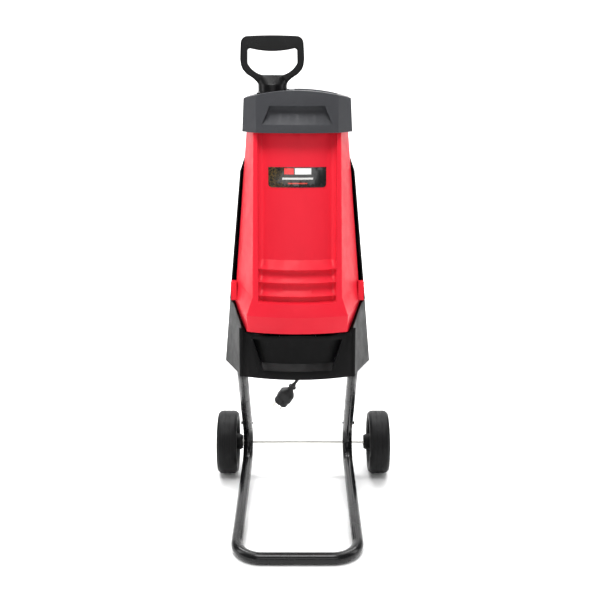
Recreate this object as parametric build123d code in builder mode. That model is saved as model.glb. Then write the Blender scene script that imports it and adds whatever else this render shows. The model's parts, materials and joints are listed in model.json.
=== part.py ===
"""Electric garden shredder on a wheeled tube frame, millimetres.

Floor at Z = 0, front faces -Y, +Z up. The origin is under the middle of the whole machine. The axle and
its wheels stand a little to the right of the casing, so the casing's middle plane is at X = BODY_X.
"""

from math import atan, cos, pi, radians, sin, tan
import os

from build123d import *

os.makedirs("parts", exist_ok=True)

# ---------------------------------------------------------------- driving dimensions
BODY_X = -14.0  # middle plane of frame, casing and hopper
GAP = 0.3  # clearance between pieces that only touch

TUBE_R, TUBE_WALL = 12.5, 1.5
FOOT_BAR_Y, FOOT_HALF = -252.5, 131.5
RAIL_HALF, LEG_HALF = 127.0, 124.0
REAR_BEND_Y, REAR_BEND_Z, REAR_BEND_R = 247.9, 50.5, 50.0
FOOT_BEND_R = 56.0
LEG_LEAN = 43.2  # degrees from vertical
LEG_Y = -38.0  # upright end of the legs, inside the casing
LEG_TOP_Z = 436.0
LEG_BEND_R = 60.0
SWAGE_R, SWAGE_LONG = TUBE_R - TUBE_WALL - 0.45, 30.0

AXLE_Y, AXLE_Z, AXLE_R = 189.3, 80.0, 4.0
WHEEL_R, WHEEL_WIDE = 80.0, 50.0
LEFT_WHEEL_X, RIGHT_WHEEL_X = -178.0, 206.0  # wheel centres from the middle plane
HUB_R = 20.0

WALL = 2.8  # moulded shells
CASING_BOTTOM, CASING_TOP = 363.0, 511.0
DECK_Z = 463.3  # parting line of the casing at the front
WING_Z = DECK_Z + 44.0
DECK_HALF, WING_HALF = 111.0, 141.0
PARTING_GAP = 2.7
ABOVE_ALL, BELOW_ALL = 1100.0, 300.0  # past the ends of what a parting block trims
CASING_FRONT_Y, CASING_CORNER_Y, CASING_SIDE_Y, CASING_BACK_Y = -122.0, -96.0, 12.0, 122.0

HINGE_Y, HINGE_Z, HINGE_PIN_R, KNUCKLE_R = -114.5, 470.5, 2.0, 4.5
LIP_SWING_R = 10.8  # room around the hinge for the hopper's lower lip

SHELL_JOIN_Y = 5.0  # front and rear shell meet here
SHELL_BACK_Y = 115.0
SHELL_TOP = 900.0
BULGE_Z, SHELL_BOTTOM = 507.0, 460.0
FLARE_Z = 545.0  # the creases spread out below this height
CREASE_LOW, CREASE_MIDDLE, CREASE_HIGH = 107.0, 94.0, 90.0

HOOD_BOTTOM, HOOD_TOP = 884.0, 968.0

SPINDLE_X, SPINDLE_Y = 0.0, 0.0
GEAR_MODULE, PINION_TEETH, GEAR_TEETH, PRESSURE = 1.5, 12, 48, 25.0
GEAR_DISTANCE = GEAR_MODULE * (PINION_TEETH + GEAR_TEETH) / 2 + 0.12
MOTOR_Y = SPINDLE_Y + GEAR_DISTANCE
GEAR_LOW, GEAR_HIGH = 479.0, 493.0

CHUTE_X, CHUTE_HALF = -52.0, 35.0  # square feed chute, inside half width
CHUTE_LOW, FUNNEL_LOW, FUNNEL_TOP = 547.5, 830.0, 943.0
PUSHER_LOW = 705.0

LOCK_Z, STUD_R = 490.0, 4.0

CORD_R = 3.7
CORD_ROUTE = [
    (55, 138, 402),
    (55, 138, 380),
    (48, 133, 356),
    (36.5, 127, 332),
    (22, 123, 308),
    (6.6, 122.6, 283.9),
    (-7.7, 128, 261.7),
]
PLUG_AXIS = Vector(-0.53, 0.20, -0.823).normalized()
PLUG_PIN_R, PLUG_PIN_SPACING, PLUG_PIN_LONG = 2.4, 19.0, 19.0


# ---------------------------------------------------------------- planes and shared outlines
def level(z, x=0.0, y=0.0):
    """Horizontal plane at height z, from the body's middle plane."""
    return Plane(origin=(BODY_X + x, y, z))


def facing(y, x=0.0, z=0.0):
    """Upright plane that faces the front: sketch X runs right and sketch Y runs up."""
    return Plane(origin=(BODY_X + x, y, z), x_dir=(1, 0, 0), z_dir=(0, -1, 0))


def across(x, y=0.0, z=0.0):
    """Upright plane that faces right: sketch X runs back and sketch Y runs up."""
    return Plane(origin=(BODY_X + x, y, z), x_dir=(0, 1, 0), z_dir=(1, 0, 0))


def at(x, y, z):
    """A point given from the body's middle plane."""
    return (BODY_X + x, y, z)


def between(z, low, high):
    """Value at height z on the straight line through two (height, value) pairs."""
    return low[1] + (high[1] - low[1]) * (z - low[0]) / (high[0] - low[0])


def box_between(x, y, z, mode=Mode.ADD):
    """Block from three (low, high) pairs, X from the body's middle plane."""
    with Locations(at(sum(x) / 2, sum(y) / 2, sum(z) / 2)):
        Box(x[1] - x[0], y[1] - y[0], z[1] - z[0], mode=mode)


def rod(x, y, z, radius, mode=Mode.ADD):
    """Upright round bar; z is a (low, high) pair."""
    with Locations(at(x, y, sum(z) / 2)):
        Cylinder(radius, z[1] - z[0], mode=mode)


def rod_along_x(x, y, z, radius, mode=Mode.ADD):
    with Locations(Location(at(sum(x) / 2, y, z), (0, 90, 0))):
        Cylinder(radius, x[1] - x[0], mode=mode)


def rod_along_y(x, y, z, radius, mode=Mode.ADD):
    with Locations(Location(at(x, sum(y) / 2, z), (90, 0, 0))):
        Cylinder(radius, y[1] - y[0], mode=mode)


def parting_block(lift, end_z):
    """Block from the line where casing and hopper part, moved up by lift, to the height end_z."""
    with BuildPart() as block:
        with BuildSketch(facing(200)):
            with BuildLine():
                Polyline(
                    (-200, end_z),
                    (-200, WING_Z + lift),
                    (-WING_HALF, WING_Z + lift),
                    (-DECK_HALF, DECK_Z + lift),
                    (DECK_HALF, DECK_Z + lift),
                    (WING_HALF, WING_Z + lift),
                    (200, WING_Z + lift),
                    (200, end_z),
                    close=True,
                )
            make_face()
        extrude(amount=400)
    return block.part


def export(piece, name):
    piece.part.label = name
    export_step(piece.part, f"parts/{name}.step")


# ---------------------------------------------------------------- tube frame
lean = radians(LEG_LEAN)


def on_leg(distance, half):
    """Point on the leaning line of a leg, measured up from the rear bend's corner."""
    return (half, REAR_BEND_Y - distance * sin(lean), REAR_BEND_Z + distance * cos(lean))


LEG_SPLIT = 114.0
swage_start = on_leg(LEG_SPLIT, RAIL_HALF)
leg_direction = Vector(0, -sin(lean), cos(lean))


def cut_leg_screw_holes(radius):
    y, z = on_leg(LEG_SPLIT + SWAGE_LONG / 2, RAIL_HALF)[1:]
    for side in (-1, 1):
        rod_along_x((side * RAIL_HALF - 16, side * RAIL_HALF + 16), y, z, radius, Mode.SUBTRACT)


with BuildPart() as foot_frame:
    with BuildLine() as foot_path:
        FilletPolyline(
            at(-RAIL_HALF, *swage_start[1:]),
            at(-RAIL_HALF, REAR_BEND_Y, REAR_BEND_Z),
            at(-FOOT_HALF, FOOT_BAR_Y, TUBE_R),
            at(FOOT_HALF, FOOT_BAR_Y, TUBE_R),
            at(RAIL_HALF, REAR_BEND_Y, REAR_BEND_Z),
            at(RAIL_HALF, *swage_start[1:]),
            radius=[REAR_BEND_R, FOOT_BEND_R, FOOT_BEND_R, REAR_BEND_R],
        )
    with BuildSketch(Plane(origin=foot_path.line @ 0, z_dir=foot_path.line % 0)):
        Circle(TUBE_R)
        Circle(TUBE_R - TUBE_WALL, mode=Mode.SUBTRACT)
    sweep(path=foot_path.line)
    for side in (-1, 1):
        swage_base = Vector(*at(side * RAIL_HALF, *swage_start[1:]))
        with BuildSketch(Plane(origin=swage_base, z_dir=leg_direction)):
            Circle(SWAGE_R)
            Circle(SWAGE_R - TUBE_WALL, mode=Mode.SUBTRACT)
        extrude(amount=SWAGE_LONG)
        with BuildSketch(Plane(origin=swage_base - leg_direction * 2, z_dir=leg_direction)):
            Circle(TUBE_R)
            Circle(SWAGE_R - TUBE_WALL, mode=Mode.SUBTRACT)
        extrude(amount=2)
    rod_along_x((-150, 150), AXLE_Y, AXLE_Z, AXLE_R + 0.05, Mode.SUBTRACT)
    cut_leg_screw_holes(2.05)
export(foot_frame, "foot_frame")

leg_corner_up = (REAR_BEND_Y - LEG_Y) / sin(lean)
for side, leg_name in ((-1, "leg_left"), (1, "leg_right")):
    with BuildPart() as leg:
        with BuildLine() as leg_path:
            FilletPolyline(
                at(side * RAIL_HALF, *on_leg(LEG_SPLIT + GAP, 0)[1:]),
                at(side * LEG_HALF, *on_leg(leg_corner_up, 0)[1:]),
                at(side * LEG_HALF, LEG_Y, LEG_TOP_Z),
                radius=LEG_BEND_R,
            )
        with BuildSketch(Plane(origin=leg_path.line @ 0, z_dir=leg_path.line % 0)):
            Circle(TUBE_R)
            Circle(TUBE_R - TUBE_WALL, mode=Mode.SUBTRACT)
        sweep(path=leg_path.line)
        cut_leg_screw_holes(2.05)
    export(leg, leg_name)

# ---------------------------------------------------------------- axle and wheels
AXLE_LEFT, AXLE_RIGHT = LEFT_WHEEL_X - 17, RIGHT_WHEEL_X + 17
with BuildPart() as axle_rod:
    rod_along_x((AXLE_LEFT, AXLE_RIGHT), AXLE_Y, AXLE_Z, AXLE_R)
    chamfer(axle_rod.edges().filter_by(GeomType.CIRCLE), 0.6)
export(axle_rod, "axle_rod")

with BuildPart() as axle_retainers:
    # A thin washer at each hub's inner end and a push-on cap at each end of the rod.
    for low, high in (
        (LEFT_WHEEL_X + 37.1, LEFT_WHEEL_X + 37.9),
        (RIGHT_WHEEL_X - 39.5, RIGHT_WHEEL_X - 38.3),
    ):
        rod_along_x((low, high), AXLE_Y, AXLE_Z, 8.5)
        rod_along_x((low - 1, high + 1), AXLE_Y, AXLE_Z, AXLE_R + 0.05, Mode.SUBTRACT)
    for side, end in ((-1, AXLE_LEFT), (1, AXLE_RIGHT)):
        rod_along_x(tuple(sorted((end - side * 4.0, end + side * 1.5))), AXLE_Y, AXLE_Z, 7.5)
        bore = tuple(sorted((end - side * 5, end + side * 0.05)))
        rod_along_x(bore, AXLE_Y, AXLE_Z, AXLE_R + 0.02, Mode.SUBTRACT)
export(axle_retainers, "axle_retainers")

SPOKES = 6


def wheel_profile(x, outward):
    """Half section of a wheel: radius along sketch X, width along sketch Y, outer side at +Y * outward."""
    half = WHEEL_WIDE / 2
    with BuildSketch(Plane(origin=at(x, AXLE_Y, AXLE_Z), x_dir=(0, 0, 1), z_dir=(0, 1, 0))) as profile:
        with BuildLine():
            Polyline(
                (AXLE_R + 0.05, -outward * (half + 12)),
                (HUB_R - 3, -outward * (half + 12)),
                (HUB_R, -outward * (half + 6)),
                (HUB_R + 1, -outward * 8),
                (58, -outward * 6),
                (61, -outward * (half - 3)),
                (66, -outward * half),
                (74, -outward * half),
                (79, -outward * (half - 6)),
                (WHEEL_R, -outward * (half - 12)),
                (WHEEL_R, outward * (half - 12)),
                (79, outward * (half - 6)),
                (74, outward * half),
                (66, outward * half),
                (61, outward * (half - 3)),
                (58, outward * 6),
                (HUB_R + 1, outward * 8),
                (HUB_R, outward * (half - 6)),
                (16, outward * (half - 6)),
                (16, outward * (half - 15)),
                (AXLE_R + 0.05, outward * (half - 15)),
                close=True,
            )
        make_face()
    return profile.sketch


def cut_wheel_windows(x):
    """Rounded windows between the spokes and shallow grooves across the tread."""
    with BuildSketch(across(x - 60, AXLE_Y, AXLE_Z)) as windows:
        with PolarLocations(40, SPOKES):
            SlotOverall(26, 15, rotation=90)
    extrude(windows.sketch, amount=120, mode=Mode.SUBTRACT)
    for low, high in ((x - 7.0, x - 5.0), (x + 5.0, x + 7.0)):
        with BuildSketch(across(low, AXLE_Y, AXLE_Z)) as groove:
            Circle(WHEEL_R + 2)
            Circle(WHEEL_R - 1.6, mode=Mode.SUBTRACT)
        extrude(groove.sketch, amount=high - low, mode=Mode.SUBTRACT)


for name, x, outward in (("wheel_left", LEFT_WHEEL_X, -1), ("wheel_right", RIGHT_WHEEL_X, 1)):
    with BuildPart() as wheel:
        revolve(wheel_profile(x, outward), axis=Axis(at(x, AXLE_Y, AXLE_Z), (1, 0, 0)))
        cut_wheel_windows(x)
    export(wheel, name)

# ---------------------------------------------------------------- lower casing
FRAME_HOLE_R = TUBE_R + 0.15
CHAMBER_OPENING_R = 90.0
DUCT_HALF, DUCT_FRONT, DUCT_BACK = 34.0, -83.0, -45.0
COVER_SCREWS = [(-108, -72), (108, -72), (-108, 104), (108, 104)]


def casing_section(z, inset=0.0):
    """Plan outline of the lower casing at height z, moved inwards by inset."""
    corner = between(z, (CASING_BOTTOM, 122.0), (CASING_TOP, 120.0))
    side = between(z, (CASING_BOTTOM, 165.5), (CASING_TOP, 152.0))
    back = between(z, (CASING_BOTTOM, 150.0), (CASING_TOP, 140.0))
    with BuildSketch(level(z)) as outline:
        with BuildLine():
            ThreePointArc((-corner, CASING_CORNER_Y), (0, CASING_FRONT_Y), (corner, CASING_CORNER_Y))
            Polyline(
                (corner, CASING_CORNER_Y),
                (side, CASING_SIDE_Y),
                (back, CASING_BACK_Y),
                (-back, CASING_BACK_Y),
                (-side, CASING_SIDE_Y),
                (-corner, CASING_CORNER_Y),
            )
        make_face()
        fillet(outline.vertices().group_by(Axis.Y)[-1], 16)
        fillet([v for v in outline.vertices() if abs(v.X) > side - 4], 9)
        if inset:
            offset(amount=-inset)
    return outline.sketch


with BuildPart() as casing_cavity:
    loft([casing_section(CASING_BOTTOM, WALL), casing_section(CASING_TOP, WALL)], ruled=True)
    add(parting_block(-WALL, ABOVE_ALL), mode=Mode.SUBTRACT)

GRIP_TOP, GRIP_LEDGE, GRIP_BOTTOM, GRIP_DEEP = 451.0, 395.0, 382.0, 14.0


def grip_section(z, half, deep, grow):
    """Plan of the grip hollow: its floor keeps the same depth behind the bowed face."""
    side_y = CASING_FRONT_Y + (CASING_CORNER_Y - CASING_FRONT_Y) * (half / 121.0) ** 2 + deep + grow
    with BuildSketch(level(z)) as outline:
        with BuildLine():
            ThreePointArc((-half - grow, side_y), (0, CASING_FRONT_Y + deep + grow), (half + grow, side_y))
            Polyline(
                (half + grow, side_y),
                (half + grow, CASING_FRONT_Y - 30),
                (-half - grow, CASING_FRONT_Y - 30),
                (-half - grow, side_y),
            )
        make_face()
    return outline.sketch


def grip_hollow(grow):
    """The hollow in the casing's front, with a sloping ledge at its foot, grown by grow on every side."""
    ledge = grip_section(GRIP_LEDGE, 78, GRIP_DEEP, grow)
    with BuildPart() as hollow:
        loft([ledge, grip_section(GRIP_TOP + grow, 96, GRIP_DEEP - 2, grow)], ruled=True)
        loft([grip_section(GRIP_BOTTOM - grow * 0.4, 74, 0.4, grow), ledge], ruled=True)
    return hollow.part


grip_cut, grip_block = grip_hollow(0), grip_hollow(WALL)

with BuildPart() as lower_casing:
    loft([casing_section(CASING_BOTTOM), casing_section(CASING_TOP)], ruled=True)
    add(parting_block(0, ABOVE_ALL), mode=Mode.SUBTRACT)
    add(casing_cavity.part - grip_block, mode=Mode.SUBTRACT)
    add(grip_cut, mode=Mode.SUBTRACT)
    # Opening in the deck for the motor, and one for the chip duct.
    rod(SPINDLE_X, SPINDLE_Y, (DECK_Z - 20, DECK_Z + 20), CHAMBER_OPENING_R, Mode.SUBTRACT)
    # Corner ribs over the legs, and sockets that take the leg tubes.
    for side in (-1, 1):
        with BuildSketch(level(CASING_BOTTOM, side * 121.0, CASING_CORNER_Y + 2)):
            Circle(5.5)
        with BuildSketch(level(DECK_Z + 8, side * 120.2, CASING_CORNER_Y + 2)):
            Circle(5.5)
        loft(ruled=True)
        rod(side * LEG_HALF, LEG_Y, (LEG_TOP_Z - 44, LEG_TOP_Z + 2.6), FRAME_HOLE_R + 2.4)
        box_between(
            tuple(sorted((side * (LEG_HALF + 10), side * 140.0))),
            (LEG_Y - 2, LEG_Y + 2),
            (LEG_TOP_Z - 40, LEG_TOP_Z),
        )
        rod(side * LEG_HALF, LEG_Y, (LEG_TOP_Z - 60, LEG_TOP_Z + 0.2), FRAME_HOLE_R, Mode.SUBTRACT)
    # Ventilation slots in both sides.
    for row in range(6):
        box_between((-190, -110), (48, 92), (384 + row * 11, 389 + row * 11), Mode.SUBTRACT)
        box_between((110, 190), (48, 92), (384 + row * 11, 389 + row * 11), Mode.SUBTRACT)
    # Trough in the deck's front edge, in which the hopper's lower lip turns.
    box_between((-38, 38), (-118.5, -105), (DECK_Z - 7, DECK_Z))
    rod_along_x((-140, 140), HINGE_Y, HINGE_Z, LIP_SWING_R, Mode.SUBTRACT)
    # Hinge knuckle, held from behind so that the lip can turn under it.
    box_between((-15, 15), (HINGE_Y + 3.2, HINGE_Y + 11.2), (DECK_Z - 6, HINGE_Z))
    box_between((-15, 15), (HINGE_Y, HINGE_Y + 11.2), (HINGE_Z - 4, HINGE_Z))
    rod_along_x((-15, 15), HINGE_Y, HINGE_Z, KNUCKLE_R)
    rod_along_x((-16, 16), HINGE_Y, HINGE_Z, HINGE_PIN_R + 0.02, Mode.SUBTRACT)
    # Post that carries the lock stud.
    box_between((-13, 13), (99, 105), (DECK_Z - 2, LOCK_Z + 13))
    box_between((-22, 22), (99, 105), (DECK_Z - 2, DECK_Z + 10))
    rod_along_y(0, (90, 110), LOCK_Z, STUD_R + 0.02, Mode.SUBTRACT)
    # Pillars for the screws of the bottom cover.
    for x, y in COVER_SCREWS:
        rod(x, y, (CASING_BOTTOM + WALL + 0.2, DECK_Z - 1), 6)
        rod(x, y, (CASING_BOTTOM - 1, 386), 2.05, Mode.SUBTRACT)
    # Openings in the back wall for the cord and for the switch box screws.
    rod_along_y(70, (110, 130), 447, 6.0, Mode.SUBTRACT)
export(lower_casing, "lower_casing")

with BuildPart() as bottom_cover:
    extrude(casing_section(CASING_BOTTOM, WALL + 0.4), amount=WALL)
    box_between(
        (-DUCT_HALF - GAP, DUCT_HALF + GAP),
        (DUCT_FRONT - GAP, DUCT_BACK + GAP),
        (CASING_BOTTOM - 1, CASING_BOTTOM + 5),
        Mode.SUBTRACT,
    )
    for side in (-1, 1):
        with BuildSketch(level(CASING_BOTTOM - 1, side * (LEG_HALF + 0.1), LEG_Y + 2.0)):
            SlotOverall(2 * FRAME_HOLE_R + 6, 2 * FRAME_HOLE_R + 0.6, rotation=90)
        extrude(amount=6, mode=Mode.SUBTRACT)
    for column in range(-3, 4):
        box_between(
            (column * 11 - 2.5, column * 11 + 2.5),
            (18, 72),
            (CASING_BOTTOM - 1, CASING_BOTTOM + 5),
            Mode.SUBTRACT,
        )
    for x, y in COVER_SCREWS:
        rod(x, y, (CASING_BOTTOM - 1, 386), 2.05, Mode.SUBTRACT)
    for side in (-1, 1):
        rod(side * 121.0, CASING_CORNER_Y + 2, (CASING_BOTTOM - 1, CASING_BOTTOM + 5), 6.2, Mode.SUBTRACT)
export(bottom_cover, "bottom_cover")

with BuildPart() as discharge_duct:
    box_between((-DUCT_HALF, DUCT_HALF), (DUCT_FRONT, DUCT_BACK), (CASING_BOTTOM - 1, 504.5))
    box_between(
        (-DUCT_HALF + 2.5, DUCT_HALF - 2.5),
        (DUCT_FRONT + 2.5, DUCT_BACK - 2.5),
        (CASING_BOTTOM - 2, 506),
        Mode.SUBTRACT,
    )
export(discharge_duct, "discharge_duct")

# ---------------------------------------------------------------- gear case and cutting chamber
CHAMBER_R, PLATE_LOW, PLATE_HIGH = 92.0, DECK_Z + GAP, 470.0
FLOOR_LOW, FLOOR_HIGH, CHAMBER_TOP = 505.0, 510.0, 545.0
FLANGE_R = 103.0
FLANGE_SCREWS = [(99.5 * cos(radians(a)), 99.5 * sin(radians(a))) for a in (30, 150, 210, 330)]

with BuildPart() as gear_plate:
    rod(0, 0, (PLATE_LOW, PLATE_HIGH), FLANGE_R)
    rod(0, 0, (460, 476), 18)
    rod(0, MOTOR_Y, (460, 476), 19)
    rod(0, 0, (459, 467), 10.0, Mode.SUBTRACT)
    rod(0, 0, (466, 477), 13.02, Mode.SUBTRACT)
    rod(0, MOTOR_Y, (459, 467), 12, Mode.SUBTRACT)
    rod(0, MOTOR_Y, (466, 477), 15.02, Mode.SUBTRACT)
    box_between(
        (-DUCT_HALF - GAP, DUCT_HALF + GAP), (DUCT_FRONT - GAP, DUCT_BACK + GAP), (450, 480), Mode.SUBTRACT
    )
    for x, y in FLANGE_SCREWS:
        rod(x, y, (450, 480), 2.05, Mode.SUBTRACT)
    for x in (-39.5, 39.5):
        rod(x, MOTOR_Y, (450, 480), 2.55, Mode.SUBTRACT)
    box_between((-24, 24), (96.2, 110), (450, 480), Mode.SUBTRACT)
export(gear_plate, "gear_plate")

with BuildPart() as chamber_housing:
    rod(0, 0, (PLATE_HIGH + 0.1, PLATE_HIGH + 5), FLANGE_R)
    rod(0, 0, (PLATE_HIGH + 1, CHAMBER_TOP), CHAMBER_R + 4)
    rod(0, 0, (PLATE_HIGH, FLOOR_LOW), CHAMBER_R, Mode.SUBTRACT)
    rod(0, 0, (FLOOR_HIGH, CHAMBER_TOP + 1), CHAMBER_R, Mode.SUBTRACT)
    rod(0, 0, (495, FLOOR_LOW + 1), 22)
    rod(0, 0, (490, 498), 14, Mode.SUBTRACT)
    rod(0, 0, (497.9, FLOOR_HIGH + 1), 17.52, Mode.SUBTRACT)
    box_between(
        (-DUCT_HALF + 2.5, DUCT_HALF - 2.5),
        (DUCT_FRONT + 2.5, DUCT_BACK - 2.5),
        (FLOOR_LOW - 1, FLOOR_HIGH + 1),
        Mode.SUBTRACT,
    )
    for x, y in FLANGE_SCREWS:
        rod(x, y, (PLATE_HIGH - 1, PLATE_HIGH + 7), 2.05, Mode.SUBTRACT)
    box_between((-24, 24), (96.2, 110), (460, 480), Mode.SUBTRACT)
export(chamber_housing, "chamber_housing")

with BuildPart() as base_screws:
    for x, y in FLANGE_SCREWS:
        rod(x, y, (PLATE_LOW + 0.1, PLATE_HIGH + 5.1), 2.0)
        rod(x, y, (PLATE_HIGH + 5.1, PLATE_HIGH + 8.6), 3.3)
        rod(x, y, (PLATE_HIGH + 6.6, PLATE_HIGH + 9), 1.4, Mode.SUBTRACT)
    for x, y in COVER_SCREWS:
        rod(x, y, (CASING_BOTTOM - 0.1, 380), 2.0)
        rod(x, y, (CASING_BOTTOM - 2.8, CASING_BOTTOM - 0.1), 4.2)
        rod(x, y, (CASING_BOTTOM - 3.5, CASING_BOTTOM - 1.6), 1.6, Mode.SUBTRACT)
    screw_y, screw_z = on_leg(LEG_SPLIT + SWAGE_LONG / 2, 0)[1:]
    for side in (-1, 1):
        outer = side * (RAIL_HALF + TUBE_R)
        rod_along_x(tuple(sorted((outer + side * 0.5, side * (RAIL_HALF - 15)))), screw_y, screw_z, 2.0)
        rod_along_x(tuple(sorted((outer + side * 0.4, outer + side * 3.4))), screw_y, screw_z, 4.5)
export(base_screws, "base_screws")


def bearing(y, z, bore, outer):
    """Sealed ball bearing on an upright axis: two rings and a recessed seal between them."""
    rod(0, y, z, outer)
    for low, high in ((z[1] - 0.8, z[1] + 1), (z[0] - 1, z[0] + 0.8)):
        with BuildSketch(level(low, 0, y)) as seal:
            Circle(outer - 2.4)
            Circle(bore + 2.2, mode=Mode.SUBTRACT)
        extrude(seal.sketch, amount=high - low, mode=Mode.SUBTRACT)
    rod(0, y, (z[0] - 1, z[1] + 1), bore, Mode.SUBTRACT)


SPINDLE_R, MOTOR_SHAFT_R = 7.5, 5.0
with BuildPart() as ball_bearings:
    bearing(0, (498, 509), SPINDLE_R + 0.02, 17.5)
    bearing(0, (467.1, 475), 5.02, 13.0)
    bearing(MOTOR_Y, (467.1, 475), MOTOR_SHAFT_R + 0.02, 15.0)
    bearing(MOTOR_Y, (368.6, 374), MOTOR_SHAFT_R + 0.02, 11.0)
export(ball_bearings, "ball_bearings")

# ---------------------------------------------------------------- cutter, spindle and gears
DISC_LOW, DISC_HIGH, DISC_R = 524.0, 532.0, 84.0
BLADE_ANGLES = (35.0, 215.0)


def on_disc(angle, z):
    """Plane at height z on the spindle's axis, turned about it."""
    return level(z, SPINDLE_X, SPINDLE_Y).rotated((0, 0, angle))


with BuildPart() as cutter_disc:
    rod(0, 0, (DISC_LOW, DISC_HIGH), DISC_R)
    chamfer(cutter_disc.edges().filter_by(GeomType.CIRCLE), 1.0)
    rod(0, 0, (512, DISC_LOW + 1), 20)
    for angle in BLADE_ANGLES:
        # Slot that lets the chips through, with a paddle under the disc beside it.
        with BuildSketch(on_disc(angle, DISC_LOW - 1)):
            with Locations((52, 12)):
                Rectangle(46, 12)
        extrude(amount=12, mode=Mode.SUBTRACT)
        with BuildSketch(on_disc(angle + 90, 514)):
            with Locations((50, 0)):
                Rectangle(62, 5)
        extrude(amount=11)
        with BuildSketch(on_disc(angle, DISC_LOW - 1)):
            with Locations((38, -5), (66, -5)):
                Circle(2.55)
        extrude(amount=12, mode=Mode.SUBTRACT)
    rod(0, 0, (500, 540), 6.02, Mode.SUBTRACT)
export(cutter_disc, "cutter_disc")

with BuildPart() as cutter_blades:
    for angle in BLADE_ANGLES:
        with BuildSketch(on_disc(angle, DISC_HIGH + 0.05)):
            with Locations((52, -2.5)):
                Rectangle(54, 18)
        extrude(amount=4)
        with BuildSketch(on_disc(angle, DISC_HIGH)):
            with Locations((38, -5), (66, -5)):
                Circle(2.6)
        extrude(amount=5, mode=Mode.SUBTRACT)
    chamfer(
        cutter_blades.faces().filter_by(Axis.Z).sort_by(Axis.Z)[0].edges().filter_by(GeomType.LINE).sort_by(
            SortBy.LENGTH
        )[-1:],
        2.0,
    )
export(cutter_blades, "cutter_blades")

with BuildPart() as blade_screws:
    for angle in BLADE_ANGLES:
        for reach in (38, 66):
            with BuildSketch(on_disc(angle, DISC_LOW - 3)):
                with Locations((reach, -5)):
                    Circle(2.5)
            extrude(amount=DISC_HIGH + 4.1 - DISC_LOW + 3)
            with BuildSketch(on_disc(angle, DISC_HIGH + 4.1)):
                with Locations((reach, -5)):
                    Circle(4.2)
            extrude(amount=2.0)
            with BuildSketch(on_disc(angle, DISC_LOW - 4.2)):
                with Locations((reach, -5)):
                    RegularPolygon(4.4, 6)
            extrude(amount=4.0)
export(blade_screws, "blade_screws")

with BuildPart() as spindle:
    rod(0, 0, (466, 476), 5.0)
    rod(0, 0, (475.5, 511.8), SPINDLE_R)
    rod(0, 0, (511, 541), 6.0)
    chamfer(spindle.faces().sort_by(Axis.Z)[-1].edges(), 0.8)
export(spindle, "spindle")

with BuildPart() as disc_nut:
    with BuildSketch(level(DISC_HIGH + 0.05)):
        RegularPolygon(11.0, 6)
    extrude(amount=6.5)
    rod(0, 0, (DISC_HIGH, DISC_HIGH + 7), 6.02, Mode.SUBTRACT)
export(disc_nut, "disc_nut")


def involute_gear(plane, teeth, bore, thin):
    """Spur gear outline. Each flank is an involute of the base circle; thin narrows a tooth for backlash."""
    pitch_r = GEAR_MODULE * teeth / 2
    base_r = pitch_r * cos(radians(PRESSURE))
    root_r, tip_r = pitch_r - 1.25 * GEAR_MODULE, pitch_r + GEAR_MODULE
    start_r = max(base_r, root_r + 0.2)
    involute = tan(radians(PRESSURE)) - radians(PRESSURE)
    half_tooth = pi / (2 * teeth) - thin / pitch_r
    flank = []
    for step in range(5):
        radius = start_r + (tip_r - start_r) * step / 4
        roll = max(radius * radius / (base_r * base_r) - 1, 0) ** 0.5
        flank.append((radius, half_tooth + involute - (roll - atan(roll))))
    with BuildSketch(plane) as outline:
        Circle(root_r)
        for tooth in range(teeth):
            middle = 2 * pi * tooth / teeth
            left = [polar(r, middle + a) for r, a in flank]
            right = [polar(r, middle - a) for r, a in flank]
            root = [polar(root_r - 0.6, middle - flank[0][1]), polar(root_r - 0.6, middle + flank[0][1])]
            with BuildLine():
                Polyline(*root, *left, *reversed(right), close=True)
            make_face()
        Circle(bore, mode=Mode.SUBTRACT)
    return outline.sketch


def polar(radius, angle):
    return (radius * cos(angle), radius * sin(angle))


with BuildPart() as drive_gear:
    extrude(involute_gear(level(GEAR_LOW), GEAR_TEETH, SPINDLE_R + 0.02, 0.06), amount=GEAR_HIGH - GEAR_LOW)
    with BuildSketch(level(GEAR_LOW - 1)):
        with PolarLocations(22, 6):
            Circle(6)
    extrude(amount=GEAR_HIGH - GEAR_LOW + 2, mode=Mode.SUBTRACT)
export(drive_gear, "drive_gear")

with BuildPart() as motor_pinion:
    pinion_plane = level(GEAR_LOW - 1, 0, MOTOR_Y).rotated((0, 0, 90 + 180 / PINION_TEETH))
    pinion_outline = involute_gear(pinion_plane, PINION_TEETH, MOTOR_SHAFT_R + 0.02, 0.06)
    extrude(pinion_outline, amount=GEAR_HIGH - GEAR_LOW + 2)
export(motor_pinion, "motor_pinion")

# ---------------------------------------------------------------- motor
STACK_LOW, STACK_HIGH, STACK_R, ROTOR_R = 394.0, 444.0, 43.0, 25.0
with BuildPart() as motor_shaft:
    rod(0, MOTOR_Y, (368, 495.5), MOTOR_SHAFT_R)
    chamfer(motor_shaft.edges().filter_by(GeomType.CIRCLE), 0.5)
export(motor_shaft, "motor_shaft")

with BuildPart() as armature:
    rod(0, MOTOR_Y, (STACK_LOW, STACK_HIGH), ROTOR_R)
    with BuildSketch(level(STACK_LOW - 1, 0, MOTOR_Y)):
        with PolarLocations(ROTOR_R, 12):
            Rectangle(5, 2.2)
    extrude(amount=STACK_HIGH - STACK_LOW + 2, mode=Mode.SUBTRACT)
    rod(0, MOTOR_Y, (STACK_LOW - 6, STACK_HIGH + 6), 18.5)
    rod(0, MOTOR_Y, (STACK_LOW - 10, STACK_HIGH + 10), MOTOR_SHAFT_R + 0.02, Mode.SUBTRACT)
export(armature, "armature")

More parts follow.
